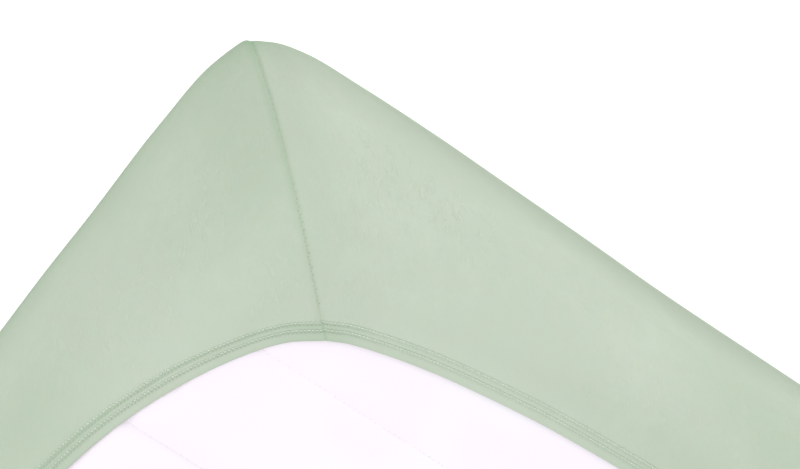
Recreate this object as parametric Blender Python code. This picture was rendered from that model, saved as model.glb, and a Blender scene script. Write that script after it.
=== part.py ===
"""A jersey fitted sheet stretched over a single mattress.

The mattress lies with its sleeping face down on the ground and its underside up, so the
elastic hem and the four corner seams of the sheet are on show.  Metres, +Z up.  X runs
across the mattress, Y along it, and the origin is on the ground below its middle.

Two closed solids: "fitted_sheet", a shell as thick as the cloth, and "mattress", the plain
quilted slab inside it.  Both follow one description of the covered form, so the cloth
clears the mattress everywhere.
"""

import math
from collections import namedtuple

import bmesh
import bpy
from mathutils import Vector

# --- Driving dimensions -------------------------------------------------------------------
WIDTH = 0.900               # covered mattress, across (X)
LENGTH = 2.000              # covered mattress, along (Y)
HEIGHT = 0.180              # ground to the stretched cloth on the underside
CLOTH = 0.002               # thickness of the cloth
GAP = 0.0003                # between the cloth and the flat faces of the mattress

RIM_RADIUS = 0.010          # rounding where the walls meet the sleeping face
EDGE_REACH = 0.046          # rounding of the underside's straight edges, inwards ...
EDGE_DROP = 0.062           # ... and downwards
CORNER_REACH = 0.0814       # the same at the corners, where the foam gives way most
CORNER_DROP = 0.150
CORNER_POWER = 2.575        # plan shape of a corner: 2 is a circle, more is squarer
CORNER_NEAR = 0.098         # the corner's rounding holds up to here from the corner ...
CORNER_FAR = 0.360          # ... and has faded into the straight edge's from here on
RIM_CLEARANCE = 0.005       # the mattress is rounder than the cloth over it: at its rim, ...
EDGE_CLEARANCE = 0.007      # ... along its edges ...
CORNER_CLEARANCE = 0.014    # ... and at its corners

WAVE_CREST = 0.0012         # how far the cloth stands proud of an even wall, in soft waves
WAVE_FIRST = 0.174          # the first wave's crest, from the neighbouring side's wall
WAVE_SPACING = 0.38         # from one crest to the next
SEAM_RIDGE = 0.0036         # how far a corner's taut seam draws the cloth out at the wall
SEAM_RIDGE_REACH = 0.034    # how far along the outline that soft ridge reaches to each side

SEAM_RAISED = 0.0009        # the seam's folded allowance under the cloth, beside the seam
SEAM_SUNK = 0.0003          # the seam line itself
SEAM_BAND = 0.0080          # width of the allowance, on the short side's panel
SEAM_STEP = 0.0012          # width of the step up to it

CHANNEL_FIRST = 0.148       # first quilting channel on show, from the -X wall
CHANNEL_PITCH = 0.0916
CHANNEL_COUNT = 8
CHANNEL_HALF_WIDTH = 0.010
CHANNEL_DEPTH = 0.003
CHANNEL_FADE = 0.060        # the channels run out this close to the mattress's ends
FADE_STATIONS = 6           # cross sections of the mattress where its corners' rounding fades
END_FACE_SECTION = 0.0005   # the flat end face is as wide as the slab is this far in

SHORT_COLUMNS = 12          # columns of points from a corner seam to the middle of a side
LONG_COLUMNS = 16
SHORT_EASE = 1.8            # how strongly the columns crowd towards the corner
LONG_EASE = 2.0
FIRST_COLUMN = 2            # the columns nearest the seam are placed by its own widths
SHARP_ANGLE = 40            # degrees: flatter edges are shaded smooth
FLAT_ANGLE = 0.05           # degrees: faces that meet flatter than this are one face

# --- The hem's edge at a corner -----------------------------------------------------------
# run: distance from the neighbouring side's wall; inset: distance from its own side's wall.
HemPoint = namedtuple("HemPoint", "run inset")

HEM_APEX = HemPoint(0.119, 0.129)   # where the corner seam ends: from the long, short wall

HEM_ALONG_SHORT_SIDE = (
    HemPoint(0.119, 0.129),
    HemPoint(0.135, 0.108),
    HemPoint(0.160, 0.089),
    HemPoint(0.195, 0.070),
    HemPoint(0.240, 0.053),
    HemPoint(0.290, 0.042),
    HemPoint(0.360, 0.034),
    HemPoint(0.450, 0.031),
)
HEM_ALONG_LONG_SIDE = (
    HemPoint(0.129, 0.119),
    HemPoint(0.145, 0.112),
    HemPoint(0.183, 0.102),
    HemPoint(0.228, 0.094),
    HemPoint(0.300, 0.086),
    HemPoint(0.420, 0.081),
    HemPoint(0.650, 0.077),
    HemPoint(1.000, 0.076),
)

# Each corner was pulled on by hand, so its hem cuts the corner a little more or less.
PULL_FADES = 0.5            # ... up to this share of the way to the middle of a side
Corner = namedtuple("Corner", "side_x side_y pulled")

CORNERS = (                 # in the order met when walking round from the middle of -Y
    Corner(+1, -1, 0.94),
    Corner(+1, +1, 1.05),
    Corner(-1, +1, 0.97),
    Corner(-1, -1, 1.00),
)

# --- Rings of the sheet's surface, from the sleeping face to the hem's edge ---------------
RIM_ANGLES = (0, 35, 65, 90)            # degrees round the rim
WALL_SHARES = (0.35, 0.70)              # up the wall
ROUNDING_ANGLES = (0, 15, 30, 45, 60, 75, 90)
FLAP_SHARES = (0.25, 0.50, 0.75)        # from the rounding to the hem

# from_edge: distance from the hem's edge; raised: above the stretched cloth around it.
HemRing = namedtuple("HemRing", "from_edge raised")

HEM_RINGS = (
    HemRing(0.0162, 0.0000),
    HemRing(0.0147, 0.0002),            # first row of stitches, sunk in
    HemRing(0.0115, 0.0012),
    HemRing(0.0082, 0.0005),            # second row
    HemRing(0.0045, 0.0013),            # the turned edge over its elastic
    HemRing(0.0010, 0.0007),
    HemRing(0.0000, -0.0005),
)
INSIDE_RINGS = (0, 1, 2, 3, 5, 6, 7, 8, 9, 10, 11, 12, 13, 15, 17, 22)    # the inside has these

SAGE = (190, 204, 186)
WHITE = (250, 249, 250)

# The covered form, for the cloth's outside or for the mattress inside it.
Form = namedtuple(
    "Form", "half_width half_length ground top rim_radius edge_reach edge_drop corner_reach"
)

CLOTH_FORM = Form(
    half_width=WIDTH / 2,
    half_length=LENGTH / 2,
    ground=0.0,
    top=HEIGHT,
    rim_radius=RIM_RADIUS,
    edge_reach=EDGE_REACH,
    edge_drop=EDGE_DROP,
    corner_reach=CORNER_REACH,
)
MATTRESS_FORM = Form(
    half_width=WIDTH / 2 - CLOTH - GAP,
    half_length=LENGTH / 2 - CLOTH - GAP,
    ground=CLOTH + GAP,
    top=HEIGHT - CLOTH - GAP,
    rim_radius=RIM_RADIUS + RIM_CLEARANCE,
    edge_reach=EDGE_REACH + EDGE_CLEARANCE,
    edge_drop=EDGE_DROP + EDGE_CLEARANCE,
    corner_reach=CORNER_REACH + CORNER_CLEARANCE,
)


# --- The covered form ---------------------------------------------------------------------
def smooth_step(value):
    """Ease a value from 0 to 1, held inside those limits."""
    held = min(max(value, 0.0), 1.0)
    return held * held * (3.0 - 2.0 * held)


def rounding(form, from_x_wall, from_y_wall):
    """Give the reach and the drop of the underside's rounded edge near a spot in plan."""
    away = (from_x_wall ** 4 + from_y_wall ** 4) ** 0.25
    corner = 1.0 - smooth_step((away - CORNER_NEAR) / (CORNER_FAR - CORNER_NEAR))
    reach = form.edge_reach + (form.corner_reach - form.edge_reach) * corner
    drop = form.edge_drop + (CORNER_DROP - form.edge_drop) * corner
    return reach, drop


def edge_level(reach, from_x_wall, from_y_wall):
    """Give 1 on the outline in plan, falling to 0 where the rounding ends."""
    x_part = max(0.0, reach - from_x_wall) / reach
    y_part = max(0.0, reach - from_y_wall) / reach
    return (x_part ** CORNER_POWER + y_part ** CORNER_POWER) ** (1.0 / CORNER_POWER)


def underside_height(form, from_x_wall, from_y_wall):
    """Height of the underside over a spot in plan, edges and corners rounded."""
    reach, drop = rounding(form, from_x_wall, from_y_wall)
    level = min(edge_level(reach, from_x_wall, from_y_wall), 1.0)
    return form.top - drop * (1.0 - math.sqrt(1.0 - level * level))


def sleeping_face_height(form, from_x_wall, from_y_wall):
    """Height of the face that lies on the ground, with its rounded rim."""
    level = min(edge_level(form.corner_reach, from_x_wall, from_y_wall), 1.0)
    short_of_flat = max(0.0, form.rim_radius - form.corner_reach * (1.0 - level))
    return form.ground + form.rim_radius - math.sqrt(form.rim_radius ** 2 - short_of_flat ** 2)


def outline_inset(form, run):
    """Distance from a side's wall to the outline, this far from the neighbouring wall."""
    along = min(max(0.0, form.corner_reach - run) / form.corner_reach, 1.0)
    return form.corner_reach * (1.0 - (1.0 - along ** CORNER_POWER) ** (1.0 / CORNER_POWER))


def outline_normal(form, from_x_wall, from_y_wall):
    """Unit direction in plan pointing into the form, as distances from the two walls."""
    x_pull = max(0.0, form.corner_reach - from_x_wall) ** (CORNER_POWER - 1.0)
    y_pull = max(0.0, form.corner_reach - from_y_wall) ** (CORNER_POWER - 1.0)
    size = math.hypot(x_pull, y_pull)
    return x_pull / size, y_pull / size


# --- The sheet ----------------------------------------------------------------------------
# wall and hem: plan spots of the column's foot and of the hem, from the x and y walls.
Column = namedtuple("Column", "corner wall hem seam_raised")


def hem_inset(table, run):
    """Read the hem's distance from its wall off a table, smoothly between its rows."""
    last = len(table) - 2
    index = min(max(sum(1 for row in table if row.run <= run) - 1, 0), last)
    before = table[max(index - 1, 0)]
    start, end = table[index], table[index + 1]
    after = table[min(index + 2, len(table) - 1)]
    width = end.run - start.run
    slope_in = (end.inset - before.inset) / (end.run - before.run) * width
    slope_out = (after.inset - start.inset) / (after.run - start.run) * width
    share = (run - start.run) / width
    square, cube = share ** 2, share ** 3
    return (
        start.inset * (2 * cube - 3 * square + 1)
        + slope_in * (cube - 2 * square + share)
        + end.inset * (3 * square - 2 * cube)
        + slope_out * (cube - square)
    )


def outline_apex():
    """Distance of the outline's corner, where the seam starts, from both walls."""
    return CORNER_REACH * (1.0 - 2.0 ** (-1.0 / CORNER_POWER))


def seam_steps():
    """Columns beside a seam on the short side's panel: distance from it and their height."""
    return (
        (SEAM_STEP, SEAM_RAISED),
        (SEAM_BAND, SEAM_RAISED),
        (SEAM_BAND + SEAM_STEP, 0.0),
    )


def half_side(corner, on_short_side):
    """Columns from beside a corner's seam to the middle of one of its two sides."""
    table = HEM_ALONG_SHORT_SIDE if on_short_side else HEM_ALONG_LONG_SIDE
    count = SHORT_COLUMNS if on_short_side else LONG_COLUMNS
    ease = SHORT_EASE if on_short_side else LONG_EASE
    apex = outline_apex()
    span = table[-1].run - apex
    runs = [(apex + span * (k / count) ** ease, 0.0) for k in range(FIRST_COLUMN, count + 1)]
    beside = seam_steps() if on_short_side else ((SEAM_STEP, 0.0),)
    runs = [(apex + away / math.sqrt(2.0), height) for away, height in beside] + runs

    columns = []
    for run, height in runs:
        share = (run - apex) / span
        hem_run = table[0].run + (table[-1].run - table[0].run) * share
        pulled = 1.0 + (corner.pulled - 1.0) * (1.0 - smooth_step(share / PULL_FADES))
        wall = (run, outline_inset(CLOTH_FORM, run))
        hem = (hem_run, hem_inset(table, hem_run) * pulled)
        if not on_short_side:
            wall, hem = wall[::-1], hem[::-1]
        columns.append(Column(corner, wall, hem, height))
    return columns


def seam_column(corner):
    """The column of points that runs up a corner's seam."""
    apex = outline_apex()
    hem = (HEM_APEX.run * corner.pulled, HEM_APEX.inset * corner.pulled)
    return Column(corner, (apex, apex), hem, -SEAM_SUNK)


def all_columns():
    """Every column of the sheet, once round it from the middle of the -Y side."""
    columns = []
    for corner in CORNERS:
        short_half = half_side(corner, on_short_side=True)
        long_half = half_side(corner, on_short_side=False)
        from_short_side = short_half[::-1] + [seam_column(corner)] + long_half
        from_long_side = from_short_side[::-1]
        walk = from_short_side if corner.side_x * corner.side_y < 0 else from_long_side
        columns.extend(walk[:-1])       # the next corner starts with this side's middle
    return columns


def place(corner, from_x_wall, from_y_wall, height):
    """Turn distances from a corner's two walls into a point of the model."""
    x = corner.side_x * (CLOTH_FORM.half_width - from_x_wall)
    y = corner.side_y * (CLOTH_FORM.half_length - from_y_wall)
    return Vector((x, y, height))


def stands_proud(column):
    """How far the cloth stands out at a column's foot: soft waves, and a ridge at the seam."""
    from_crest = max(column.wall) - WAVE_FIRST * column.corner.pulled
    wave = 0.5 + 0.5 * math.cos(2.0 * math.pi * from_crest / WAVE_SPACING)
    apex = outline_apex()
    from_seam = math.hypot(column.wall[0] - apex, column.wall[1] - apex)
    ridge = 1.0 - smooth_step(from_seam / SEAM_RIDGE_REACH)
    return WAVE_CREST * wave + SEAM_RIDGE * ridge


def wall_rings(column):
    """Points of one column from the sleeping face up to where the rounding starts."""
    normal = outline_normal(CLOTH_FORM, *column.wall)
    proud = stands_proud(column)
    _, drop = rounding(CLOTH_FORM, *column.wall)
    wall_top = HEIGHT - drop
    stations = []
    for angle in RIM_ANGLES:
        turn = math.radians(angle)
        stations.append((RIM_RADIUS * (1.0 - math.sin(turn)), RIM_RADIUS * (1.0 - math.cos(turn))))
    for share in WALL_SHARES:
        stations.append((0.0, RIM_RADIUS + (wall_top - RIM_RADIUS) * share))

    points = []
    for inset, height in stations:
        from_x = column.wall[0] + normal[0] * (inset - proud)
        from_y = column.wall[1] + normal[1] * (inset - proud)
        points.append(place(column.corner, from_x, from_y, height))
    return points


def underside_rings(column):
    """Points of one column from the wall's top over the rounded edge to the hem's edge."""
    run_x = column.hem[0] - column.wall[0]
    run_y = column.hem[1] - column.wall[1]
    length = math.hypot(run_x, run_y)
    hem_start = length - HEM_RINGS[0].from_edge
    normal = outline_normal(CLOTH_FORM, *column.wall)
    slant = length / (run_x * normal[0] + run_y * normal[1])
    reach, _ = rounding(CLOTH_FORM, *column.wall)
    rounded = min(reach * slant, hem_start * FLAP_SHARES[-1])

    distances = [rounded * (1.0 - math.cos(math.radians(angle))) for angle in ROUNDING_ANGLES]
    distances += [rounded + (hem_start - rounded) * share for share in FLAP_SHARES]
    distances += [length - ring.from_edge for ring in HEM_RINGS]

    points = []
    for distance in distances:
        from_x = column.wall[0] + run_x * distance / length
        from_y = column.wall[1] + run_y * distance / length
        height = underside_height(CLOTH_FORM, from_x, from_y)
        proud = stands_proud(column) * (1.0 - smooth_step(distance / reach))
        from_x -= normal[0] * proud
        from_y -= normal[1] * proud
        points.append(place(column.corner, from_x, from_y, height))
    return points


def raised(column, ring):
    """How far a point stands above the stretched cloth: the hem's band and the seams."""
    ring_count = len(RIM_ANGLES) + len(WALL_SHARES) + len(ROUNDING_ANGLES) + len(FLAP_SHARES)
    in_hem = ring - ring_count
    height = HEM_RINGS[in_hem].raised if in_hem >= 0 else 0.0
    on_the_wall = smooth_step((ring - 1.0) / (len(RIM_ANGLES) - 1.0))
    return height + column.seam_raised * on_the_wall


def surface_normals(grid):
    """Outward unit normal of every point of a closed grid, by its neighbours."""
    count = len(grid)
    normals = []
    for i, column in enumerate(grid):
        following, previous = grid[(i + 1) % count], grid[i - 1]
        row = [Vector((0.0, 0.0, -1.0))]
        for j in range(1, len(column)):
            upper = column[min(j + 1, len(column) - 1)]
            across = following[j] - previous[j]
            row.append(across.cross(upper - column[j - 1]).normalized())
        normals.append(row)
    return normals


def bridge_rings(mesh, lower, upper):
    """Join two closed rings of vertices by a band of faces."""
    for i in range(len(lower)):
        after = (i + 1) % len(lower)
        mesh.faces.new((lower[i], lower[after], upper[after], upper[i]))


def build_sheet():
    """Model the stretched sheet: its outside, its inside and the hem's edge between them."""
    columns = all_columns()
    grid = [wall_rings(column) + underside_rings(column) for column in columns]
    normals = surface_normals(grid)
    ring_count = len(grid[0])

    mesh = bmesh.new()
    rings = []
    for j in range(ring_count):
        ring = []
        for i, column in enumerate(columns):
            ring.append(mesh.verts.new(grid[i][j] + normals[i][j] * raised(column, j)))
        rings.append(ring)
    for j in reversed(INSIDE_RINGS):
        rings.append([mesh.verts.new(grid[i][j] - normals[i][j] * CLOTH) for i in range(len(grid))])

    for lower, upper in zip(rings, rings[1:]):
        bridge_rings(mesh, lower, upper)
    mesh.faces.new(rings[0])
    mesh.faces.new(rings[-1])
    return mesh


# --- The mattress -------------------------------------------------------------------------
def rounded_distances(start, reach):
    """Distances from a wall that crowd where a rounding is steepest."""
    return [start + (reach - start) * (1.0 - math.cos(math.radians(a))) for a in ROUNDING_ANGLES]


def channel_positions():
    """Distances of the quilting channels' middles from the mattress's own -X wall."""
    first = CHANNEL_FIRST - CLOTH - GAP
    return [first + CHANNEL_PITCH * k for k in range(CHANNEL_COUNT)]


def stations_along():
    """Distances of the mattress's cross sections from its -Y end."""
    corner = MATTRESS_FORM.corner_reach
    near = rounded_distances(0.0, corner)
    near += [corner + (CORNER_FAR - corner) * k / FADE_STATIONS for k in range(1, FADE_STATIONS + 1)]
    full = 2.0 * MATTRESS_FORM.half_length
    return near + [full - distance for distance in reversed(near)]


def stations_across(from_end):
    """Distances from the -X wall of one cross section's points, with 1 in a channel."""
    inset = outline_inset(MATTRESS_FORM, from_end)
    reach, _ = rounding(MATTRESS_FORM, 0.0, from_end)
    near = [(distance, 0.0) for distance in rounded_distances(inset, max(reach, inset))]
    full = 2.0 * MATTRESS_FORM.half_width
    stations = list(near)
    for middle in channel_positions():
        stations += [
            (middle - CHANNEL_HALF_WIDTH, 0.0),
            (middle, 1.0),
            (middle + CHANNEL_HALF_WIDTH, 0.0),
        ]
    return stations + [(full - distance, 0.0) for distance, _ in reversed(near)]


def build_mattress():
    """Model the plain quilted slab: two skins over one plan grid and the walls between."""
    form = MATTRESS_FORM
    width, length = 2.0 * form.half_width, 2.0 * form.half_length
    mesh = bmesh.new()
    top_rows, bottom_rows = [], []
    for along in stations_along():
        from_end = min(along, length - along)
        fade = smooth_step(from_end / CHANNEL_FADE)
        top_row, bottom_row = [], []
        for across, channel in stations_across(max(from_end, END_FACE_SECTION)):
            from_side = min(across, width - across)
            top = underside_height(form, from_side, from_end) - CHANNEL_DEPTH * channel * fade
            bottom = sleeping_face_height(form, from_side, from_end)
            x, y = across - form.half_width, along - form.half_length
            top_row.append(mesh.verts.new((x, y, top)))
            bottom_row.append(mesh.verts.new((x, y, bottom)))
        top_rows.append(top_row)
        bottom_rows.append(bottom_row)

    for rows in (top_rows, bottom_rows):
        for row, following in zip(rows, rows[1:]):
            for k in range(len(row) - 1):
                mesh.faces.new((row[k], row[k + 1], following[k + 1], following[k]))
    for upper, lower in ((top_rows[0], bottom_rows[0]), (top_rows[-1], bottom_rows[-1])):
        for k in range(len(upper) - 1):
            mesh.faces.new((upper[k], upper[k + 1], lower[k + 1], lower[k]))
    for side in (0, -1):
        for k in range(len(top_rows) - 1):
            mesh.faces.new((
                top_rows[k][side], top_rows[k + 1][side],
                bottom_rows[k + 1][side], bottom_rows[k][side],
            ))
    bmesh.ops.dissolve_limit(
        mesh, angle_limit=math.radians(FLAT_ANGLE), verts=mesh.verts, edges=mesh.edges
    )
    return mesh


# --- Objects and materials ----------------------------------------------------------------
def linear(colour):
    """Turn a colour of 0 to 255 a channel into the scene-linear values that Blender uses."""
    values = []
    for channel in colour:
        share = channel / 255.0
        values.append(share / 12.92 if share <= 0.04045 else ((share + 0.055) / 1.055) ** 2.4)
    return (*values, 1.0)


def make_material(name, colour, roughness):
    """Make a plain cloth finish."""
    material = bpy.data.materials.new(name)
    material.use_nodes = True
    shader = material.node_tree.nodes["Principled BSDF"]
    shader.inputs["Base Color"].default_value = linear(colour)
    shader.inputs["Roughness"].default_value = roughness
    shader.inputs["Metallic"].default_value = 0.0
    return material


def make_object(name, mesh, material, parent):
    """Turn a bmesh into an object with its material, shaded smooth over its soft edges."""
    bmesh.ops.recalc_face_normals(mesh, faces=mesh.faces)
    data = bpy.data.meshes.new(name)
    mesh.to_mesh(data)
    mesh.free()
    data.materials.append(material)
    data.shade_smooth()
    data.set_sharp_from_angle(angle=math.radians(SHARP_ANGLE))
    thing = bpy.data.objects.new(name, data)
    thing.parent = parent
    bpy.context.scene.collection.objects.link(thing)
    return thing


def clear_scene():
    """Remove whatever the scene holds."""
    for thing in list(bpy.data.objects):
        bpy.data.objects.remove(thing, do_unlink=True)


def main():
    """Build the mattress and the sheet over it."""
    clear_scene()
    covered = bpy.data.objects.new("covered_mattress", None)
    bpy.context.scene.collection.objects.link(covered)
    jersey = make_material("sage_jersey", SAGE, 0.95)
    ticking = make_material("white_ticking", WHITE, 0.90)
    make_object("fitted_sheet", build_sheet(), jersey, covered)
    make_object("mattress", build_mattress(), ticking, covered)


main()
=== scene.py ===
"""Looks of a jersey fitted sheet stretched over a quilted mattress.

The mattress lies with its sleeping face down and its underside up, so the sheet's elastic
hem and its four corner seams are on show.  Metres, +Z up, X across the mattress, Y along
it, the origin on the ground below its middle.  A spot is a place in plan, given by its
distances inwards from the x wall and the y wall of its corner.
"""

import logging
import math
from dataclasses import dataclass, field
from enum import Enum

import bpy
import numpy as np
from mathutils import Matrix, Vector


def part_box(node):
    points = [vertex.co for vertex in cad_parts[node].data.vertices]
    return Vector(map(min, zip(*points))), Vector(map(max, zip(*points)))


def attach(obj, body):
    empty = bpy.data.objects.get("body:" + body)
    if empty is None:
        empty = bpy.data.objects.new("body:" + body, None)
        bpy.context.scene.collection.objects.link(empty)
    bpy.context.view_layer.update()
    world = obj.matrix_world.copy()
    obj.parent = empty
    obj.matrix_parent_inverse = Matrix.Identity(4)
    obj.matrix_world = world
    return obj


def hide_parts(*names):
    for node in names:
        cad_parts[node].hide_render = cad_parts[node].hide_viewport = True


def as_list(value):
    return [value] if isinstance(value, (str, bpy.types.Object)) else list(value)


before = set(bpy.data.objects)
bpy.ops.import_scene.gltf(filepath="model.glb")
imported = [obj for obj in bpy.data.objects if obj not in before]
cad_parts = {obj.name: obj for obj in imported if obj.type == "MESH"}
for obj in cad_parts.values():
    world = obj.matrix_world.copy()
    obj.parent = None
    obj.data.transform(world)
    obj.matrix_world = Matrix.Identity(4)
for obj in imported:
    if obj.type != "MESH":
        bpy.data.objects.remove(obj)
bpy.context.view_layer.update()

logging.basicConfig(level=logging.INFO, format="%(message)s")
log = logging.getLogger("fitted_sheet")

MM = 0.001
BODY = "root"
PAINTED_LIGHT_SHADE = "pile"
CRINKLE = "crinkle"
WHITE = (1.0, 1.0, 1.0, 1.0)

Array = np.ndarray
Colour = tuple[int, int, int]
Triple = tuple[float, float, float]
Ramp = tuple[float, float, float, float]    # from, to, and the values there
Rows = tuple[tuple[float, float], ...]      # a place and the value there, row by row
Thing = bpy.types.Object
Socket = bpy.types.NodeSocket


class Panel(Enum):
    """The two sides of the sheet that meet in a corner seam."""

    SHORT = -1
    LONG = 1


class Slot(Enum):
    """The record's material slots."""

    JERSEY = "jersey"
    TICKING = "ticking"


# --- Small helpers ---
def smooth_step(value: Array | float) -> Array:
    """Ease a value from 0 to 1, held inside those limits."""
    held = np.clip(value, 0.0, 1.0)
    return held * held * (3.0 - 2.0 * held)


def bell(distance: Array, width: float) -> Array:
    """Give a soft hump: 1 at its middle, a third at its width, near 0 past twice that."""
    return np.exp(-((distance / width) ** 2))


def bend(steps: int) -> Array:
    """Give the share of a quarter round's depth at even angles, from 0 to 1."""
    return 1.0 - np.cos(np.radians(np.linspace(0.0, 90.0, steps)))


def between(count: int) -> Array:
    """Give even shares of a way, without its two ends."""
    return np.arange(1, count + 1) / (count + 1.0)


def unit(vectors: Array) -> Array:
    """Scale vectors to a length of 1."""
    return vectors / np.linalg.norm(vectors, axis=-1, keepdims=True)


def travelled(points: Array) -> Array:
    """Give the distance along a line of points, from its first point to each."""
    steps = np.linalg.norm(np.diff(points, axis=-2), axis=-1)
    return np.insert(np.cumsum(steps, -1), 0, 0.0, axis=-1)


def on_line(at: Array, places: Array, line: Array) -> Array:
    """Read x, y and z at some distances along a line whose points have their own places."""
    return np.stack([np.interp(at, places, part) for part in line.T], 1)


def straight(rows: Rows, at: Array) -> Array:
    """Read a cross section, kept in millimetres, at places across it in metres."""
    places, heights = np.array(sorted(rows)).T * MM
    return np.interp(at, places, heights)


def smooth(rows: Rows, at: Array) -> Array:
    """Read a value that changes smoothly from row to row.

    Args:
        rows: rising places, and the values there.
        at: where to read; past either end its value holds.

    Returns:
        The values.
    """
    places, values = np.array(rows).T
    at = np.clip(at, places[0], places[-1])
    here = np.clip(np.searchsorted(places, at, side="right") - 1, 0, len(places) - 2)
    before, after = np.maximum(here - 1, 0), np.minimum(here + 2, len(places) - 1)
    width = places[here + 1] - places[here]
    slope_in = (values[here + 1] - values[before]) / (places[here + 1] - places[before]) * width
    slope_out = (values[after] - values[here]) / (places[after] - places[here]) * width
    share = (at - places[here]) / width
    square, cube = share ** 2, share ** 3
    return (values[here] * (2 * cube - 3 * square + 1) + slope_in * (cube - 2 * square + share)
            + values[here + 1] * (3 * square - 2 * cube) + slope_out * (cube - square))


def linear(colour: Colour) -> tuple[float, ...]:
    """Turn red, green and blue of 0 to 255 into scene-linear values, with an alpha of 1."""
    shares = (channel / 255.0 for channel in colour)
    return (*(s / 12.92 if s <= 0.04045 else ((s + 0.055) / 1.055) ** 2.4 for s in shares), 1.0)


def band(lower: Array, upper: Array) -> list[list[int]]:
    """Join closed rings of point numbers, each to its partner, by bands of faces."""
    corners = [lower, np.roll(lower, -1, -1), np.roll(upper, -1, -1), upper]
    return np.stack(corners, -1).reshape(-1, 4).tolist()


def tube(rings: Array) -> list[list[int]]:
    """Join rows of point numbers, each a closed ring, into a skin closed at both ends."""
    return [rings[0][::-1].tolist(), *band(rings[:-1], rings[1:]), rings[-1].tolist()]


def mesh_object(name: str, points: Array, faces: list, smooth_faces: bool = True) -> Thing:
    """Make an object of points and faces and put it in the scene.

    Args:
        name: the piece's name.
        points: one row of x, y, z for each point.
        faces: point numbers of each face.
        smooth_faces: whether its faces are shaded smooth.

    Returns:
        The new object.
    """
    data = bpy.data.meshes.new(name)
    data.from_pydata(points.tolist(), [], faces)
    data.update()
    if smooth_faces:
        data.shade_smooth()
    return placed(name, data)


def placed(name: str, data: bpy.types.ID) -> Thing:
    """Put a new object with this data in the scene.

    Args:
        name: its name.
        data: its mesh, camera or light.

    Returns:
        The new object.
    """
    thing = bpy.data.objects.new(name, data)
    bpy.context.scene.collection.objects.link(thing)
    return thing


def finished(piece: Thing, material: bpy.types.Material, slot: Slot) -> Thing:
    """Give a piece its material and its body.

    Args:
        piece: the piece.
        material: the material of its finish.
        slot: the record's slot for it; not used.

    Returns:
        The same piece.
    """
    piece.data.materials.append(material)
    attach(piece, BODY)
    return piece


# --- The covered form ---
@dataclass(frozen=True)
class Form:
    """A slab with rounded edges, for the cloth's outside or for the mattress inside it."""

    half_width: float
    half_length: float
    ground: float
    top: float
    rim_depth: float = 0.006
    rim_height: float = 0.024
    edge_reach: float = 0.046
    edge_drop: float = 0.062
    corner_reach: float = 0.0814
    corner_drop: float = 0.150
    power: float = 2.575
    corner_near: float = 0.098
    corner_far: float = 0.360

    def flipped(self, places: Array) -> Array:
        """Turn distances from the middle into spots, or spots into distances from the middle."""
        return np.array([self.half_width, self.half_length]) - places

    def rounding(self, spot: Array) -> tuple[Array, Array]:
        """Give the reach and the drop of the underside's rounded edge near a spot.

        Args:
            spot: the spots.

        Returns:
            How far the rounding reaches inwards and how far down.
        """
        away = (spot ** 4).sum(-1) ** 0.25
        corner = 1.0 - smooth_step((away - self.corner_near) / (self.corner_far - self.corner_near))
        reach = self.edge_reach + (self.corner_reach - self.edge_reach) * corner
        drop = self.edge_drop + (self.corner_drop - self.edge_drop) * corner
        return reach, drop

    def level(self, reach: Array | float, spot: Array) -> Array:
        """Give 1 on the outline in plan, falling to 0 where a rounding of that reach ends."""
        parts = np.maximum(0.0, 1.0 - spot / np.expand_dims(reach, -1)) ** self.power
        return np.minimum(parts.sum(-1) ** (1.0 / self.power), 1.0)

    def underside(self, spot: Array) -> Array:
        """Give the height of the underside, edges and corners rounded."""
        reach, drop = self.rounding(spot)
        return self.top - drop * (1.0 - np.sqrt(1.0 - self.level(reach, spot) ** 2))

    def sleeping_face(self, spot: Array) -> Array:
        """Give the height of the face on the ground, with its rounded rim."""
        inset = self.corner_reach * (1.0 - self.level(self.corner_reach, spot)) / self.rim_depth
        return self.ground + self.rim_height * (1.0 - np.sqrt(1.0 - np.maximum(0.0, 1.0 - inset) ** 2))

    def outline_inset(self, run: Array) -> Array:
        """Give the outline's distances from a side's wall, so far from the neighbouring wall."""
        along = np.clip((self.corner_reach - run) / self.corner_reach, 0.0, 1.0)
        return self.corner_reach * (1.0 - (1.0 - along ** self.power) ** (1.0 / self.power))

    def outline_apex(self) -> float:
        """Give the distance from both walls of the outline's corner, where the seam starts."""
        return self.corner_reach * (1.0 - 2.0 ** (-1.0 / self.power))

    def inwards(self, spot: Array) -> Array:
        """Give the unit direction in plan from the outline into the form."""
        return unit(np.maximum(0.0, self.corner_reach - spot) ** (self.power - 1.0))


# --- Finishes ---
@dataclass(frozen=True)
class Patches:
    """Soft patches: grains a metre, how their noise is eased, its detail and its roughness."""

    scale: float
    ramp: Ramp
    detail: float = 2.0
    roughness: float = 0.5


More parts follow.
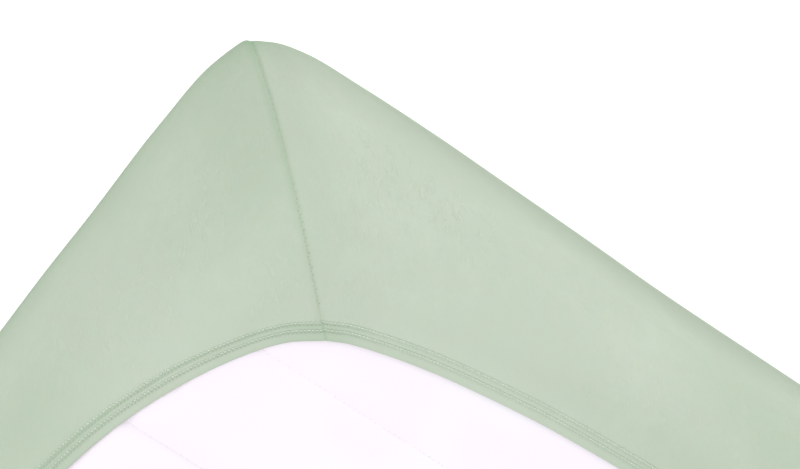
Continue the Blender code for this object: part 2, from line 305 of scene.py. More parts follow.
class Graph:
    """The nodes of one material, with the few operations that the finishes use."""

    def __init__(self, name: str) -> None:
        """Make the material and keep its nodes and its shader's sockets.

        Args:
            name: the material's name.
        """
        self.material = bpy.data.materials.new(name)
        self.material.use_nodes = True
        self.nodes = self.material.node_tree.nodes
        self.shader = self.nodes["Principled BSDF"].inputs

    def fill(self, inputs: bpy.types.NodeInputs, values: dict[str | int, object]) -> None:
        """Link or set some of a node's inputs.

        Args:
            inputs: the node's inputs.
            values: for each by its name or number, the output to link or the plain value.
        """
        for name, value in values.items():
            if isinstance(value, Socket):
                self.material.node_tree.links.new(value, inputs[name])
            else:
                inputs[name].default_value = value

    def node(self, kind: str, given: str, values: dict[str | int, object], **settings: str) -> Socket:
        """Add a node.

        Args:
            kind: its type, without the ShaderNode in front.
            given: the name of the output that is wanted.
            values: what fills its inputs.
            settings: its own settings.

        Returns:
            The output.
        """
        node = self.nodes.new("ShaderNode" + kind)
        for name, value in settings.items():
            setattr(node, name, value)
        self.fill(node.inputs, values)
        return node.outputs[given]

    def solid(self) -> Socket:
        """Give places in the object's own space, in metres."""
        return self.node("TexCoord", "Object", {})

    def laid_flat(self, layer: str) -> Socket:
        """Give one of the cloth's own pairs of coordinates."""
        return self.node("UVMap", "UV", {}, uv_map=layer)

    def part(self, place: Socket, axis: str) -> Socket:
        """Give one part of a place: X, Y or Z."""
        return self.node("SeparateXYZ", axis, {"Vector": place})

    def painted(self, name: str) -> Socket:
        """Give a value that the mesh itself keeps at its points, by its name."""
        return self.node("Attribute", "Fac", {}, attribute_name=name)

    def noise(self, place: Socket, scale: float, stretch: Triple = (1.0, 1.0, 1.0),
              detail: float = 2.0, roughness: float = 0.5) -> Socket:
        """Add a noise of so many grains a metre, finer along x, y and z by the stretch."""
        grain = {"Scale": scale, "Detail": detail, "Roughness": roughness}
        placed = self.node("Mapping", "Vector", {"Vector": place, "Scale": stretch})
        return self.node("TexNoise", "Fac", {"Vector": placed, **grain})

    def span(self, value: Socket, low: float, high: float, to_low: float = 0.0,
             to_high: float = 1.0) -> Socket:
        """Ease a range of a value into another range, and hold it inside that."""
        ends = {"From Min": low, "From Max": high, "To Min": to_low, "To Max": to_high}
        return self.node("MapRange", "Result", {"Value": value, **ends}, interpolation_type="SMOOTHSTEP")

    def patches(self, place: Socket, kind: Patches) -> Socket:
        """Scatter one kind of soft patches over the places."""
        noise = self.noise(place, kind.scale, detail=kind.detail, roughness=kind.roughness)
        return self.span(noise, *kind.ramp)

    def maths(self, kind: str, first: Socket | float, second: Socket | float = 0.0) -> Socket:
        """Combine two values by an operation such as MULTIPLY."""
        return self.node("Math", "Value", {0: first, 1: second}, operation=kind)

    def times(self, first: Socket | float, *others: Socket | float) -> Socket:
        """Multiply several values."""
        return self.maths("MULTIPLY", self.times(*others), first) if others else first

    def most(self, first: Socket, second: Socket | float) -> Socket:
        """Give the larger of two values."""
        return self.maths("MAXIMUM", first, second)

    def line(self, value: Socket, middle: float, half_width: float) -> Socket:
        """Give 1 where a value is at a line's middle, falling to 0 at its edges."""
        away = self.maths("ABSOLUTE", self.maths("SUBTRACT", value, middle))
        return self.span(away, 0.0, half_width, 1.0, 0.0)

    def tinted(self, colour: Socket | Colour, *tones: tuple[Socket, Colour]) -> Socket:
        """Blend a colour into others, one after another.

        Args:
            colour: the colour at the start.
            tones: how much of each other colour shows, and that colour.

        Returns:
            The blended colour.
        """
        for share, tone in tones:
            ends = {"A": colour if isinstance(colour, Socket) else linear(colour), "B": linear(tone)}
            colour = self.node("Mix", "Result", {"Factor": share, **ends}, data_type="RGBA")
        return colour

    def relief(self, *heights: tuple[Socket, float]) -> Socket:
        """Lay bumps one on another, the coarsest first.

        Args:
            heights: each bump's height of 0 to 1, and what 1 is in metres.

        Returns:
            The bumped normal.
        """
        below = {}
        for height, depth in heights:
            below = {"Normal": self.node("Bump", "Normal", {"Height": height, "Distance": depth, **below})}
        return below["Normal"]


@dataclass(frozen=True)
class Finish:
    """A finish: its colour, how matt it is, and what changes over the surface."""

    name: str
    colour: Colour
    roughness: float = 0.95
    specular: float = 0.2
    sheen: float = 0.0
    sheen_roughness: float = 0.5
    sheen_colour: Colour = (255, 255, 255)

    def make(self) -> bpy.types.Material:
        """Build the material, its uniform values set on the shader's own sockets.

        Returns:
            The material.
        """
        graph = Graph(self.name)
        uniform = {
            "Base Color": linear(self.colour),
            "Roughness": self.roughness,
            "Specular IOR Level": self.specular,
            "Sheen Weight": self.sheen,
            "Sheen Roughness": self.sheen_roughness,
            "Sheen Tint": linear(self.sheen_colour),
        }
        graph.fill(graph.shader, uniform)
        graph.fill(graph.shader, self.details(graph))
        return graph.material

    def details(self, graph: Graph) -> dict[str, object]:
        """Give what else feeds the shader, by its sockets' names: nothing for a plain finish."""
        return {}


@dataclass(frozen=True)
class BrushedJersey(Finish):
    """Brushed cotton jersey: a matt felted knit with small creases and a pale bloom."""

    name: str = "brushed_sage_jersey"
    colour: Colour = (188, 199, 182)
    sheen: float = 0.10
    sheen_colour: Colour = (214, 226, 210)
    cool: Colour = (185, 200, 184)
    warm: Colour = (190, 198, 182)
    bloom: Colour = (198, 209, 193)
    # Colours of painted shade in creases, seams, hem and zones, of painted shade low on the long side's
    # walls, and of painted light and highlights.
    painted_shade: Colour = (155, 178, 151)
    shade: Colour = (160, 172, 154)
    raised: Colour = (216, 226, 211)

    warm_patches: Patches = Patches(11.0, (0.42, 0.66, 0.0, 0.35))
    cool_patches: Patches = Patches(70.0, (0.44, 0.60, 0.0, 0.40), 4.0, 0.6)
    bloom_patches: Patches = Patches(16.0, (0.46, 0.70, 0.0, 0.35), 7.0, 0.72)
    crease_patches: Patches = Patches(11.0, (0.50, 0.62, 0.0, 0.5))
    crease_breaks: Patches = Patches(110.0, (0.46, 0.56, 0.0, 1.0))
    drawn_patches: Patches = Patches(8.0, (0.36, 0.60, 0.0, 1.0))

    # The knit's waves, its pile and its small creases: grains a metre, depths in metres, and
    # where in the creases' noise a crease and its lip lie; then how much painted shade fills a
    # crease and how much painted highlight its lip.
    wale_scale: float = 45.454545
    wale_sway: float = 1.5
    wale_depth: float = 0.00003
    pile_grain: float = 1500.0
    pile_depth: float = 0.00008
    drawn_grain: float = 60.0
    drawn_depth: float = 0.0006
    crease_grain: float = 85.0
    crease_depth: float = 0.00011
    crease_at: float = 0.50
    lip_at: float = 0.585
    crease_width: float = 0.055
    crease_shade: float = 0.12
    lip_highlight: float = 0.16

    # The hem's sewing, as distances from its edge; then how much painted shade lies in its
    # stitch dents and between its rows, and how much darker the turned hem is.
    turned: float = 0.0128
    in_hem: Ramp = (0.0122, 0.0134, 1.0, 0.0)
    past_hem: tuple[float, float] = (0.0128, 0.0148)
    between_rows: tuple[float, float] = (0.0078, 0.0119)
    upper_dent: float = 0.0119
    lower_dent: float = 0.0068
    dent_width: float = 0.0011
    dent_depth: float = 0.00035
    dent_shade: float = 0.60
    row_shade: float = 0.34
    turned_tone: float = 0.10
    needle_hole: Ramp = (-1.0, 0.6, 1.0, 0.25)
    # The corner seam: across it, where below 0 is the short side's panel, and up along it;
    # the painted shade in a band beside it and along its line, that line also through the hem,
    # and the hem darker near the corner.
    long_side_flatter: Ramp = (0.0, 0.05, 1.0, 0.30)
    seam_from: Ramp = (-0.0065, -0.0010, 0.0, 1.0)
    seam_to: Ramp = (0.0002, 0.0042, 1.0, 0.0)
    seam_up: Ramp = (0.10, 0.26, 0.42, 0.16)
    seam_line: tuple[float, float] = (-0.0003, 0.0019)
    seam_line_shade: float = 0.36
    line_in_hem: tuple[float, float] = (0.0002, 0.0016)
    line_in_hem_shade: float = 0.34
    hem_corner_from: Ramp = (-0.045, -0.006, 0.0, 0.26)
    hem_corner_to: Ramp = (0.0, 0.03, 1.0, 0.0)
    # Shade low on the walls, across the seam and up from the ground.
    far_foot: tuple[Ramp, Ramp] = ((0.08, 0.20, 1.0, 0.1), (0.012, 0.040, 0.22, 0.0))
    short_foot: tuple[Ramp, Ramp] = ((0.0, 0.02, 1.0, 0.0), (0.015, 0.090, 0.30, 0.0))
    long_foot: tuple[Ramp, Ramp] = ((0.0, 0.02, 0.0, 1.0), (0.015, 0.115, 0.46, 0.0))
    long_foot_start: Ramp = (0.008, 0.036, 0.45, 1.0)
    tip_width: float = 0.050
    tip_up: Ramp = (0.030, 0.075, 0.16, 0.0)
    off_face: Ramp = (0.0, 0.012, 0.0, 1.0)

    def creased(self, graph: Graph, solid: Socket, cloth: Socket) -> tuple[Socket, Socket]:
        """Scatter small short creases in some zones of the cloth.

        Args:
            graph: the material's nodes.
            solid: places in the object.
            cloth: places on the cloth laid flat.

        Returns:
            How much of a crease, painted in shade, is at each place, and how much of its lip,
            painted paler as a highlight.
        """
        lines = graph.noise(cloth, self.crease_grain, (3.0, 1.0, 1.0))
        zones = graph.most(graph.patches(solid, self.crease_patches), graph.painted(CRINKLE))
        zones = graph.times(graph.patches(solid, self.crease_breaks), zones)
        middles = (self.crease_at, self.lip_at)
        return tuple(graph.times(zones, graph.line(lines, at, self.crease_width)) for at in middles)

    def sewing_shade(self, graph: Graph) -> tuple[Socket, Socket, Socket]:
        """Mark the painted shade along the sewing and low on the walls, and where the sewing dents the cloth.

        Args:
            graph: the material's nodes.

        Returns:
            How much painted shade each place has, how much painted shade is at the long side's
            foot, and how deep the sewing pulls the cloth in.
        """
        span, line, times, most = graph.span, graph.line, graph.times, graph.most
        hem, seam = graph.laid_flat("hem"), graph.laid_flat("seam")
        inwards, across, climb = graph.part(hem, "Y"), graph.part(seam, "X"), graph.part(seam, "Y")

        needle = graph.maths("COSINE", times(2.0 * math.pi, graph.part(hem, "X")))
        rows = most(*(line(inwards, at, self.dent_width) for at in (self.upper_dent, self.lower_dent)))
        flatter = span(across, *self.long_side_flatter)
        dents = times(flatter, span(needle, *self.needle_hole), rows)
        turned = span(inwards, *self.in_hem)
        # Painted shade in the stitch dents and between the hem's rows.
        rows_shade = times(self.row_shade, flatter, span(inwards, *self.between_rows), turned)
        dark = most(times(self.dent_shade, dents), rows_shade)

        beside = times(span(climb, *self.seam_up), span(inwards, *self.past_hem),
                       span(across, *self.seam_to), span(across, *self.seam_from))
        dark = most(dark, most(beside, times(self.seam_line_shade, line(across, *self.seam_line))))
        at_corner = times(span(across, *self.hem_corner_to), span(across, *self.hem_corner_from))
        dark = most(dark, times(graph.maths("ADD", at_corner, self.turned_tone), turned))
        through_hem = times(self.line_in_hem_shade, line(across, *self.line_in_hem), turned)
        tip = times(span(climb, *self.tip_up), line(across, 0.0, self.tip_width))
        far, short, long = (
            times(span(climb, *up), span(across, *sideways))
            for sideways, up in (self.far_foot, self.short_foot, self.long_foot)
        )
        # Painted shade down through the hem, low on the walls and at the seam's foot.
        for more in (through_hem, far, short, tip):
            dark = graph.maths("ADD", dark, more)
        off_face = span(climb, *self.off_face)
        return times(off_face, dark), times(off_face, span(climb, *self.long_foot_start), long), dents

    def details(self, graph: Graph) -> dict[str, object]:
        """Give the cloth's tones with its painted light, shade and highlights, and its relief from coarse to
        fine.

        Args:
            graph: the material's nodes.

        Returns:
            The changing colour and the normal.
        """
        solid, cloth, pile = graph.solid(), graph.laid_flat("cloth"), graph.painted(PAINTED_LIGHT_SHADE)
        creased, lip = self.creased(graph, solid, cloth)
        dark, long_foot, dents = self.sewing_shade(graph)
        drifts = (
            (self.warm_patches, self.warm),
            (self.cool_patches, self.cool),
            (self.bloom_patches, self.bloom),
        )
        # Random drifts of tone, then the painted light, highlights and shade.
        colour = graph.tinted(
            self.colour,
            *((graph.patches(solid, kind), tone) for kind, tone in drifts),
            # Painted light where the zones are above 0, painted shade where they are below.
            (graph.most(pile, 0.0), self.raised),
            (graph.most(graph.times(-1.0, pile), 0.0), self.painted_shade),
            # Painted highlight on the creases' lips and painted shade in the creases.
            (graph.times(self.lip_highlight, lip), self.raised),
            (graph.times(self.crease_shade, creased), self.painted_shade),
            (long_foot, self.shade),
            (dark, self.painted_shade),
        )
        wales = {"Vector": cloth, "Scale": self.wale_scale, "Distortion": self.wale_sway}
        drawn = graph.noise(cloth, self.drawn_grain, (2.0, 1.0, 1.0), 3.0, 0.55)
        normal = graph.relief(
            (graph.times(graph.patches(solid, self.drawn_patches), drawn), self.drawn_depth),
            (graph.maths("SUBTRACT", lip, creased), self.crease_depth),
            (graph.maths("SUBTRACT", 1.0, dents), self.dent_depth),
            (graph.node("TexWave", "Fac", wales), self.wale_depth),
            (graph.noise(cloth, self.pile_grain), self.pile_depth),
        )
        return {"Base Color": colour, "Normal": normal}


@dataclass(frozen=True)
class SewingThread(Finish):
    """Spun polyester thread, a little paler than the cloth."""

    name: str = "sage_thread"
    colour: Colour = (206, 220, 204)
    roughness: float = 0.7
    sheen: float = 0.1
    dull: Colour = (192, 207, 190)
    dull_patches: Patches = Patches(300.0, (0.4, 0.6, 0.0, 0.7))
    twist_grain: float = 3000.0
    twist_depth: float = 0.00005

    def details(self, graph: Graph) -> dict[str, object]:
        """Give the thread's small changes of colour and its twist.

        Args:
            graph: the material's nodes.

        Returns:
            The changing colour and the normal.
        """
        solid = graph.solid()
        colour = graph.tinted(self.colour, (graph.patches(solid, self.dull_patches), self.dull))
        twist = graph.noise(solid, self.twist_grain, (1.0, 2.0, 1.0))
        return {"Base Color": colour, "Normal": graph.relief((twist, self.twist_depth))}


@dataclass(frozen=True)
class Ticking(Finish):
    """White knitted mattress ticking."""

    name: str = "white_ticking"
    colour: Colour = (243, 240, 246)
    roughness: float = 0.9
    sheen: float = 0.05
    rose: Colour = (245, 237, 246)
    rose_patches: Patches = Patches(7.0, (0.45, 0.62, 0.0, 1.0))
    # A painted shade, in the rose tint, growing toward the ends.
    shaded_ends: tuple[float, float] = (0.78, 0.90)
    loft_grain: float = 60.0
    loft_depth: float = 0.00025
    knit_grain: float = 900.0
    knit_depth: float = 0.00005

    def details(self, graph: Graph) -> dict[str, object]:
        """Give the faintest random drift of tone, with a painted shade toward both ends, and a fine knit.

        Args:
            graph: the material's nodes.

        Returns:
            The changing colour and the normal.
        """
        solid = graph.solid()
        ends = graph.span(graph.maths("ABSOLUTE", graph.part(solid, "Y")), *self.shaded_ends)
        drift = graph.most(graph.patches(solid, self.rose_patches), ends)
        loft, knit = graph.noise(solid, self.loft_grain), graph.noise(solid, self.knit_grain, (1.0, 0.5, 1.0))
        normal = graph.relief((loft, self.loft_depth), (knit, self.knit_depth))
        return {"Base Color": graph.tinted(self.colour, (drift, self.rose)), "Normal": normal}


@dataclass(frozen=True)
class StudioWhite(Finish):
    """The plain pale floor, bright enough to stay white around the object."""

    name: str = "studio_white"
    colour: Colour = (250, 250, 250)
    glow: float = 0.60

    def details(self, graph: Graph) -> dict[str, object]:
        """Give the floor's own light."""
        return {"Emission Color": WHITE, "Emission Strength": self.glow}


# --- The sheet ---
@dataclass(frozen=True)
class Corner:
    """One corner of the mattress and how hard its hem was pulled on."""

    side_x: int
    side_y: int
    pulled: float


@dataclass(frozen=True)
class Crease:
    """A soft straight crease on a panel, in millimetres.

    Each end is its distance from the neighbouring wall and its distance up from the
    ground, measured over the cloth.
    """

    corner: int
    panel: Panel
    start: tuple[float, float]
    end: tuple[float, float]
    width: float
    height: float


@dataclass(frozen=True)
class Zone:
    """A soft zone of a panel, in millimetres, and how strong what it marks is there.

    Its middle is given as a crease's end is, and its size is measured the same two ways.
    """

    corner: int
    panel: Panel
    middle: tuple[float, float]
    size: tuple[float, float]
    value: float


def marks(kind: type, corner: int, panel: Panel, *rows: tuple[float, ...]) -> list:
    """Make the creases or zones of one panel, each from a row of its plain numbers."""
    return [kind(corner, panel, row[0:2], row[2:4], *row[4:]) for row in rows]


@dataclass
class Grid:
    """The sheet's points before any relief: columns round it, rings from ground to hem."""

    points: Array      # columns, rings, xyz
    normals: Array
    from_seam: Array   # columns, rings; below 0 on the short side's panel
    from_edge: Array   # columns, rings; from the hem's edge
    corner: Array      # columns; the corner's number
    panel: Array       # columns; below 0 on a short side, 0 on a seam
    run: Array         # columns; from the neighbouring wall
    climb: Array       # columns, rings; over the cloth, from the ground


@dataclass
class FittedSheet:
    """The stretched jersey sheet: one thin closed shell with its seams, hem and creases."""

    form: Form
    finish: BrushedJersey = BrushedJersey()
    wall_thickness: float = 0.0012
    hem_thickness: float = 0.0010
    stitch_pitch: float = 0.0027
    flat_width: float = 1.30
    flat_length: float = 2.28
    corner_cut: float = 0.21
    # Steps between columns, along a side from its seam.
    fine_step: float = 0.0004
    step_growth: float = 1.13
    near_step: float = 0.006
    far_step: float = 0.013
    near_end: float = 0.30
    # Rings from the sleeping face up to the hem; the inside has fewer of them.
    face_ring: float = 0.008
    rim_rings: int = 9
    wall_rings: int = 8
    rounding_rings: int = 31
    rounding_most: float = 0.75
    flap_rings: int = 6
    inner_every: int = 3
    inner_last: int = 4
    # How the shape and its relief change from place to place.
    relief_foot: float = 0.008
    tone_foot: float = 0.03
    crease_ends: float = 0.35
    seam_in_hem: float = 0.4
    pull_fades: float = 0.5
    widest_slant: float = 1.8
    short_side_narrower: float = 0.11
    narrower_from: float = 0.12
    narrower_over: float = 0.05
    long_side_flatter: float = 0.40
    flatter_over: float = 0.05
    edge_kept: float = 0.0002

    corners: tuple[Corner, ...] = (
        Corner(+1, -1, 0.94), Corner(+1, +1, 1.05), Corner(-1, +1, 0.97), Corner(-1, -1, 1.00),
    )
    # The hem's edge along a side: from the neighbouring wall, and inwards from its own wall.
    hem_short: Rows = (
        (0.119, 0.129), (0.135, 0.108), (0.160, 0.089), (0.195, 0.070), (0.240, 0.053), (0.290, 0.042),
        (0.360, 0.034), (0.450, 0.031),
    )
    hem_long: Rows = (
        (0.129, 0.119), (0.145, 0.112), (0.183, 0.102), (0.228, 0.094), (0.300, 0.086), (0.420, 0.081),
        (0.650, 0.077), (1.000, 0.076),
    )
    # How far the walls stand proud of the plain form, the seam's ridge at their start.
    proud_short: Rows = (
        (0.018, 0.0042), (0.023, 0.0050), (0.029, 0.0031), (0.036, 0.0014), (0.045, 0.0002),
        (0.065, -0.0008), (0.085, -0.0006), (0.120, 0.0004), (0.180, 0.0001), (0.235, 0.0010),
        (0.300, 0.0006), (0.450, 0.0012),
    )
    proud_long: Rows = (
        (0.018, 0.0042), (0.026, 0.0034), (0.036, 0.0027), (0.048, 0.0015), (0.065, 0.0012),
        (0.086, 0.0015), (0.125, 0.0026), (0.175, 0.0030), (0.230, 0.0024), (0.300, 0.0017),
        (0.375, 0.0004), (0.490, 0.0013), (0.640, 0.0022), (0.820, 0.0008), (1.000, 0.0016),
    )
    # In millimetres across the hem, from the flap to its edge: from the edge, and the height.
    hem_section: Rows = (
        (17.0, 0.0), (15.4, 0.06), (14.4, 0.16), (13.6, 0.16), (12.8, 0.06), (12.2, -0.12), (11.8, -0.15),
        (11.3, 0.05), (10.4, 0.45), (9.4, 0.55), (8.7, 0.45), (8.1, 0.35), (7.4, 0.22), (6.8, -0.02),
        (6.2, 0.22), (5.1, 0.70), (3.4, 0.98), (2.0, 0.98), (1.0, 0.78), (0.4, 0.40), (0.0, -0.90),
    )
    # In millimetres across a corner seam, from the short side's panel to the long side's.
    seam_section: Rows = (
        (-11.0, 0.0), (-8.5, 0.14), (-6.5, 0.48), (-4.6, 0.92), (-3.2, 1.08), (-2.0, 1.00), (-1.2, 0.80),
        (-0.5, 0.60), (0.0, 0.53), (0.5, 0.56), (1.2, 0.66), (2.4, 0.76), (4.0, 0.70), (6.5, 0.42),
        (10.0, 0.15), (15.0, 0.0),
    )
    creases: tuple[Crease, ...] = (
        *marks(Crease, 3, Panel.LONG, (176, 236, 192, 262, 6, 0.40), (192, 230, 208, 256, 6, -0.35),
               (84, 60, 118, 128, 10, 0.40)),
        *marks(Crease, 3, Panel.SHORT, (96, 150, 132, 196, 9, 0.35)),
        *marks(Crease, 0, Panel.SHORT, (60, 70, 104, 150, 10, 0.50), (150, 150, 168, 192, 7, -0.40)),
        *marks(Crease, 0, Panel.LONG, (120, 170, 140, 232, 8, 0.45)),
        *marks(Crease, 1, Panel.SHORT, (52, 110, 84, 190, 9, 0.45)),
        *marks(Crease, 1, Panel.LONG, (70, 60, 112, 150, 11, 0.55), (205, 190, 222, 236, 7, -0.40)),
        *marks(Crease, 2, Panel.SHORT, (92, 80, 120, 150, 9, 0.45), (188, 130, 200, 168, 7, -0.35)),
        *marks(Crease, 2, Panel.LONG, (58, 90, 80, 180, 10, 0.50), (260, 170, 282, 214, 8, 0.35)),
    )
    # Painted light on the cloth where above 0, and painted shade where below 0.
    zones: tuple[Zone, ...] = (
        *marks(Zone, 3, Panel.SHORT, (38, 100, 45, 105, -0.27), (105, 125, 45, 50, -0.10),
               (135, 50, 50, 55, -0.09), (30, 175, 40, 38, -0.10), (280, 165, 75, 60, -0.26),
               (232, 207, 40, 18, -0.12)),
        *marks(Zone, 3, Panel.LONG, (30, 130, 30, 105, -0.16), (150, 262, 70, 20, 0.12),
               (455, 168, 90, 58, -0.33), (320, 240, 75, 22, -0.14), (305, 178, 45, 24, 0.12)),
        *marks(Zone, 0, Panel.SHORT, (40, 100, 45, 100, -0.20)),
        *marks(Zone, 0, Panel.LONG, (160, 130, 90, 70, -0.14), (420, 90, 110, 60, 0.12)),
        *marks(Zone, 1, Panel.SHORT, (60, 90, 50, 80, -0.18)),
        *marks(Zone, 1, Panel.LONG, (240, 120, 90, 70, 0.14), (60, 150, 50, 80, -0.14)),
        *marks(Zone, 2, Panel.SHORT, (45, 120, 50, 90, -0.20), (240, 90, 80, 60, 0.12)),
        *marks(Zone, 2, Panel.LONG, (330, 140, 110, 60, -0.16)),
    )
    # Where small creases crowd in the cloth.
    crinkled: tuple[Zone, ...] = (
        *marks(Zone, 3, Panel.SHORT, (88, 150, 42, 38, 1.0), (38, 236, 26, 26, 0.7), (200, 140, 60, 40, 0.5)),
        *marks(Zone, 3, Panel.LONG, (92, 126, 40, 45, 1.0), (158, 140, 50, 36, 1.0), (60, 200, 30, 50, 0.5),
               (300, 185, 80, 40, 0.5)),
        *marks(Zone, 0, Panel.SHORT, (110, 120, 55, 45, 0.9)),
        *marks(Zone, 0, Panel.LONG, (70, 160, 45, 50, 0.9), (260, 120, 80, 40, 0.6)),
        *marks(Zone, 1, Panel.SHORT, (80, 170, 45, 40, 0.8)),
        *marks(Zone, 1, Panel.LONG, (130, 130, 60, 45, 1.0)),
        *marks(Zone, 2, Panel.SHORT, (150, 110, 60, 40, 0.8)),
        *marks(Zone, 2, Panel.LONG, (90, 140, 50, 50, 0.9), (380, 160, 90, 40, 0.6)),
    )
    grid: Grid | None = field(default=None)

    def runs_along(self, span: float) -> Array:
        """Give the columns' distances from a corner seam, fine beside it.

        Args:
            span: how far it is to the middle of the side.

        Returns:
            Distances along the side, from the seam to its middle.
        """
        distances = [0.0]
        step = self.fine_step
        while distances[-1] < span:
            distances.append(distances[-1] + step)
            widest = self.near_step if distances[-1] < self.near_end else self.far_step
            step = min(step * self.step_growth, widest)
        return np.array(distances) * span / distances[-1]

    def half_side(self, number: int, panel: Panel) -> Array:
        """Give the columns from a corner's seam to the middle of one of its sides.

        Args:
            number: the corner's number.
            panel: which of its two sides.

        Returns:
            A row for each column, the seam's first: its distance from the neighbouring wall,
            its panel, corner, pull and sides, and the spots of its foot and of the hem.
        """
        corner, apex = self.corners[number], self.form.outline_apex()
        table = self.hem_short if panel is Panel.SHORT else self.hem_long
        (hem_start, _), (middle, _) = table[0], table[-1]
        along = self.runs_along(middle - apex)
        share = along / along[-1]
        run, hem_run = apex + along, hem_start + (middle - hem_start) * share
        pulled = 1.0 + (corner.pulled - 1.0) * (1.0 - smooth_step(share / self.pull_fades))
        wall = np.stack([run, self.form.outline_inset(run)], 1)
        hem = np.stack([hem_run, smooth(table, hem_run)], 1) * pulled[:, None]
        if panel is Panel.LONG:
            wall, hem = wall[:, ::-1], hem[:, ::-1]
        same = np.tile((number, corner.pulled, corner.side_x, corner.side_y), (len(run), 1))
        return np.column_stack([run, np.where(along > 0.0, panel.value, 0), same, wall, hem])

    def columns(self) -> Array:
        """Give the columns all round the sheet.

        Returns:
            A row for each column, as half_side gives it.
        """
        parts = []
        for number, corner in enumerate(self.corners):
            short, long = (self.half_side(number, panel) for panel in Panel)
            part = np.concatenate([short[::-1], long[1:]])
            parts.append(part[:-1] if corner.side_x * corner.side_y < 0 else part[:0:-1])
        return np.concatenate(parts)

    def lay_out(self) -> None:
        """Work out the grid: where each column and ring lies before any relief."""
        form, section = self.form, np.array(self.hem_section)[:, 0] * MM
        run, panel, corner, pull, *pairs = self.columns().T
        sign, wall, hem = (np.stack(pairs[k:k + 2], 1) for k in (0, 2, 4))
        normal = form.inwards(wall)
        proud = np.where(panel < 0.0, smooth(self.proud_short, run), smooth(self.proud_long, run)) * pull
        reach, drop = form.rounding(wall)

        rim, deep, high = bend(self.rim_rings), form.rim_depth, form.rim_height
        insets = np.concatenate([[deep + self.face_ring], deep * rim[::-1], np.zeros(self.wall_rings)])
        low_spots = wall + normal * (insets[:, None] - proud)[..., None]
        rim_heights = np.outer(np.append(0.0, high * rim), np.ones(len(run)))
        wall_heights = high + np.outer(between(self.wall_rings), form.top - drop - high)

        towards = unit(hem - wall)
        length = np.hypot(*(hem - wall).T)
        edge = sign * form.flipped(hem)
        along, column = unit(np.roll(edge, -1, 0) - np.roll(edge, 1, 0)), -sign * towards
        square = np.abs(along[:, 0] * column[:, 1] - along[:, 1] * column[:, 0])
        off_corner = smooth_step((run - self.narrower_from) / self.narrower_over) * (panel < 0.0)
        slanted = np.minimum(1.0 / square, self.widest_slant) * (1.0 - self.short_side_narrower * off_corner)
        hem_start = length - section[0] * slanted
        rounded = np.minimum(reach / (towards * normal).sum(1), hem_start * self.rounding_most)
        distances = np.concatenate([
            np.outer(bend(self.rounding_rings), rounded),
            rounded + np.outer(between(self.flap_rings), hem_start - rounded),
            length - np.outer(section, slanted),
        ])
        high_spots = wall + towards * distances[..., None]
        heights = np.concatenate([rim_heights, wall_heights, form.underside(high_spots)])
        spread = proud * (1.0 - smooth_step(distances / reach))
        spots = np.concatenate([low_spots, high_spots - normal * spread[..., None]])

        points = np.dstack([sign * form.flipped(spots), heights]).transpose(1, 0, 2)
        across = np.roll(points, -1, 0) - np.roll(points, 1, 0)
        normals = unit(np.cross(across, np.gradient(points, axis=1)))
        normals[:, :2] = (0.0, 0.0, -1.0)
        corner = corner.astype(int)
        seam = points[np.flatnonzero(panel == 0.0)[corner]]
        from_seam = np.linalg.norm(points - seam, axis=2) * panel[:, None]
        from_edge = np.full(heights.T.shape, section[0])
        from_edge[:, -len(section):] = section
        self.grid = Grid(points, normals, from_seam, from_edge, corner, panel, run, travelled(points))

    def on_panel(self, mark: Crease | Zone) -> Array:
        """Tell which columns lie on a mark's panel."""
        return ((self.grid.corner == mark.corner) & (self.grid.panel == mark.panel.value))[:, None]

    def crease_height(self) -> Array:
        """Give how far the listed creases lift or sink each point.

        Returns:
            The height at each column and ring, in metres.
        """
        grid = self.grid
        height = np.zeros(grid.climb.shape)
        for crease in self.creases:
            start, end = np.array([crease.start, crease.end]) * MM
            line = end - start
            run, climb = grid.run[:, None] - start[0], grid.climb - start[1]
            share = np.clip((run * line[0] + climb * line[1]) / (line @ line), 0.0, 1.0)
            away = np.hypot(run - share * line[0], climb - share * line[1])
            taper = self.crease_ends + (1.0 - self.crease_ends) * np.sin(math.pi * share)
            height += self.on_panel(crease) * crease.height * MM * bell(away, crease.width * MM) * taper
        return height

    def zone_values(self, zones: tuple[Zone, ...]) -> Array:
        """Give how much of some soft zones lies at each point.

        Args:
            zones: the zones.

        Returns:
            The sum of their values at each column and ring.
        """
        grid = self.grid
        tone = np.zeros(grid.climb.shape)
        for zone in zones:
            across = (grid.run[:, None] / MM - zone.middle[0]) / zone.size[0]
            upwards = (grid.climb / MM - zone.middle[1]) / zone.size[1]
            tone += self.on_panel(zone) * zone.value * bell(np.hypot(across, upwards), 1.0)
        return tone * smooth_step(grid.climb / self.tone_foot)

    def surface(self) -> Array:
        """Give the outside of the cloth with all its relief.

        Returns:
            The points, by column and ring.
        """
        grid = self.grid
        on_wall = smooth_step(grid.points[:, :, 2] / self.relief_foot)
        seam = straight(self.seam_section, grid.from_seam) * on_wall
        on_long_side = smooth_step(grid.from_seam / self.flatter_over) * (grid.from_edge > self.edge_kept)
        hem = straight(self.hem_section, grid.from_edge) * (1.0 - self.long_side_flatter * on_long_side)
        in_hem = grid.from_edge < self.hem_section[0][0] * MM
        height = np.where(in_hem, hem + self.seam_in_hem * seam, seam) + self.crease_height() * on_wall
        return grid.points + grid.normals * height[:, :, None]

